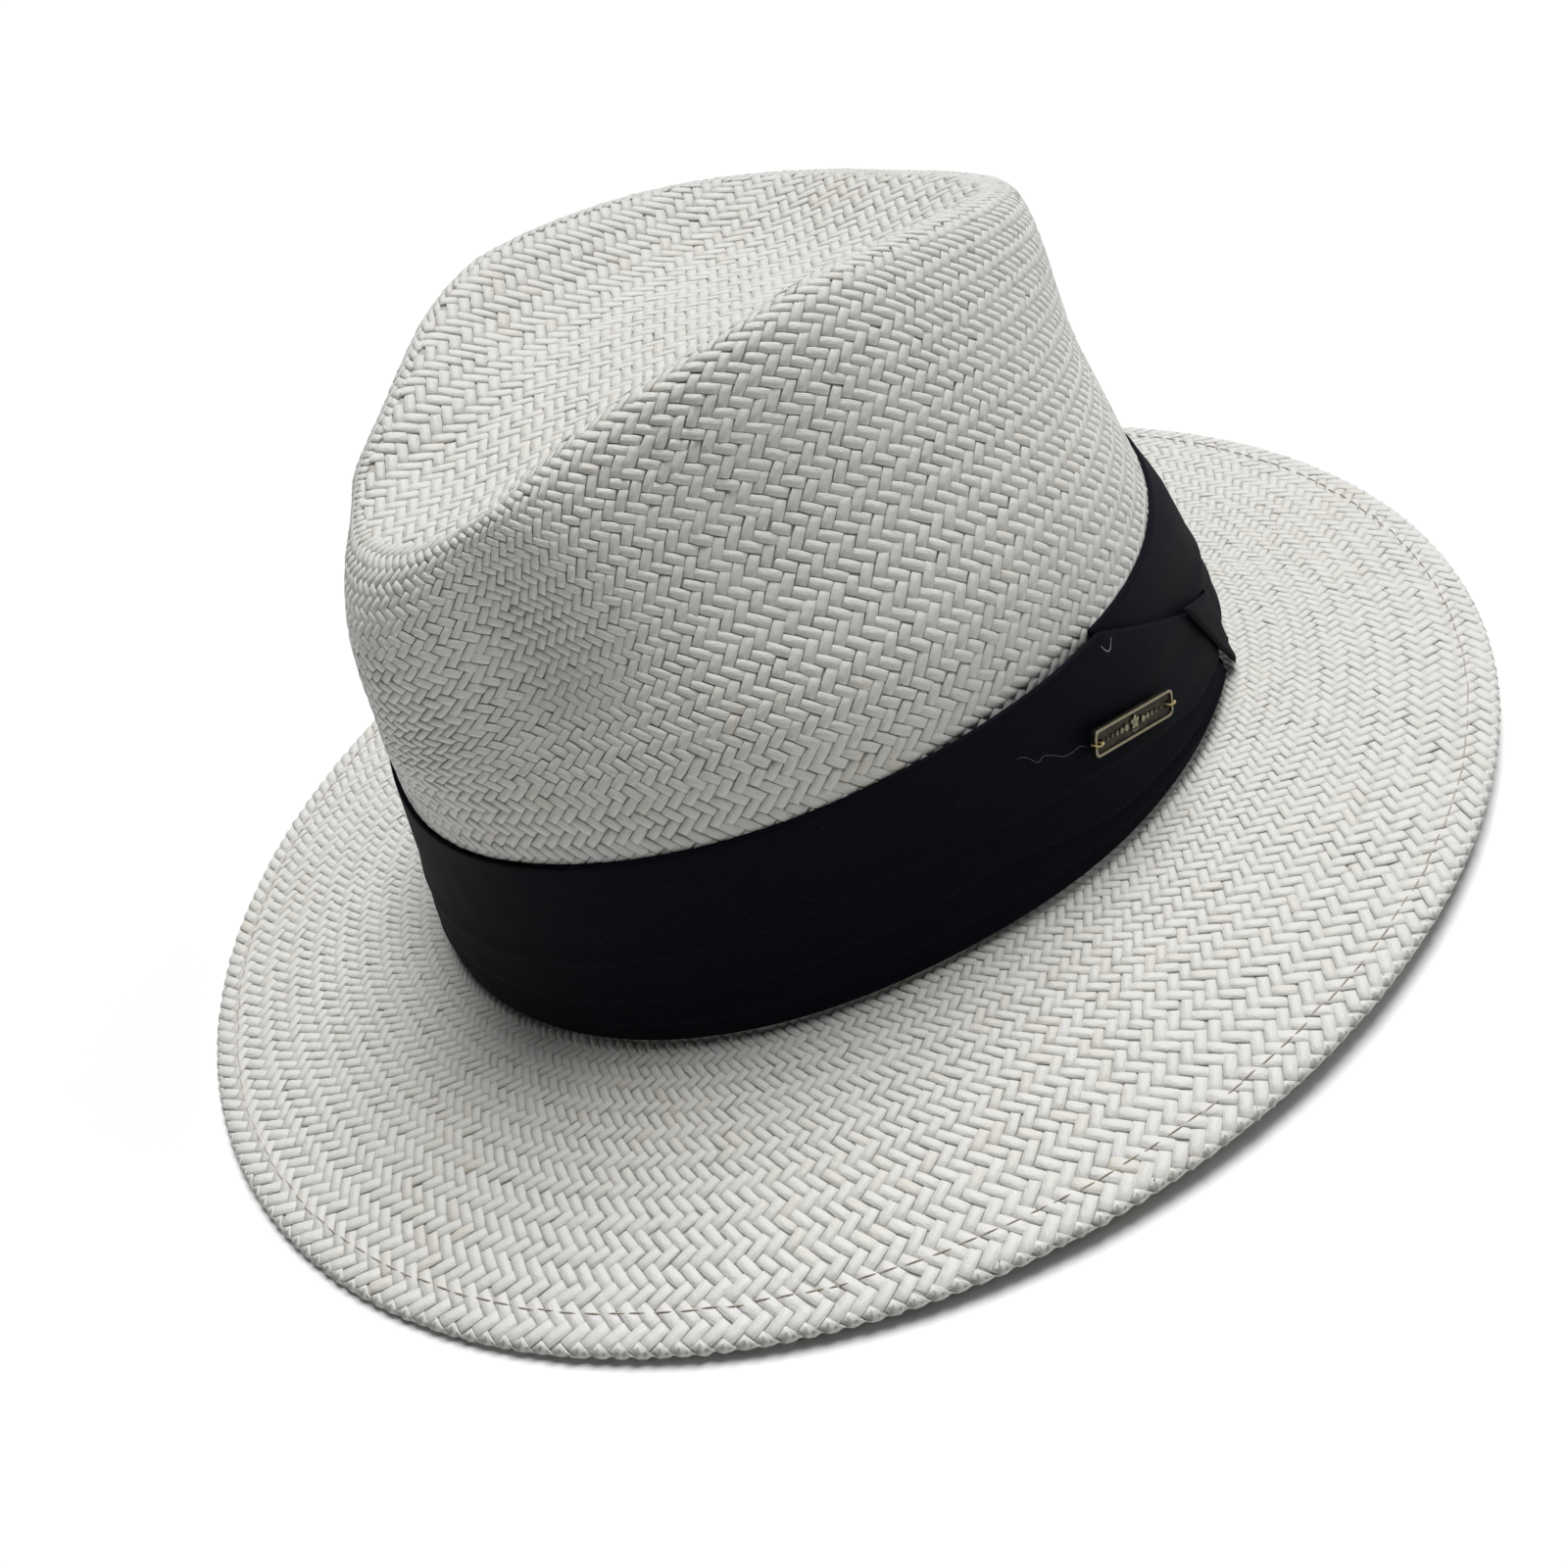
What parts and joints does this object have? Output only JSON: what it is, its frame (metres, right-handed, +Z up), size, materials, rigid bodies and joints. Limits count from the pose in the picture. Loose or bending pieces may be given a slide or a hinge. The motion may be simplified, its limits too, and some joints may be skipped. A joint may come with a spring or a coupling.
{
  "type": "panama hat",
  "caption": "Woven straw hat with a pinched teardrop crown, wired hemmed brim, pleated dark cloth band with keeper and badge, and an inner sweatband.",
  "frame": {"origin": "centre of the hat's outline on the surface its brim rests on", "axes": "+Z up through the crown, -Y toward the front of the hat, +X toward the wearer's left, the side with the badge"},
  "size_m": [0.2944, 0.325, 0.1375],
  "materials": {
    "straw": "off-white woven paper straw, slightly burnished",
    "wire": "drawn wire",
    "tan_thread": "tan sewing thread",
    "band_cloth": "navy-black fine cotton, matte",
    "badge_brass": "antiqued, rim rubbed bright",
    "yellow_thread": "waxed yellow thread",
    "dark_thread": "dark sewing thread",
    "pale_thread": "pale sewing thread",
    "sweatband_cloth": "black ribbed tape",
    "label_cloth": "blank woven satin label"
  },
  "bodies": {
    "root": {"woven_body": "straw", "brim_wire": "wire", "hem_stitching": "tan_thread", "hat_band": "band_cloth", "band_keeper": "band_cloth", "badge_plate": "badge_brass", "badge_loops": "yellow_thread", "badge_thread_end": "dark_thread", "band_thread_end": "pale_thread", "sweatband": "sweatband_cloth", "sweatband_stitching": "dark_thread", "size_label": "label_cloth"}
  },
  "joints": []
}
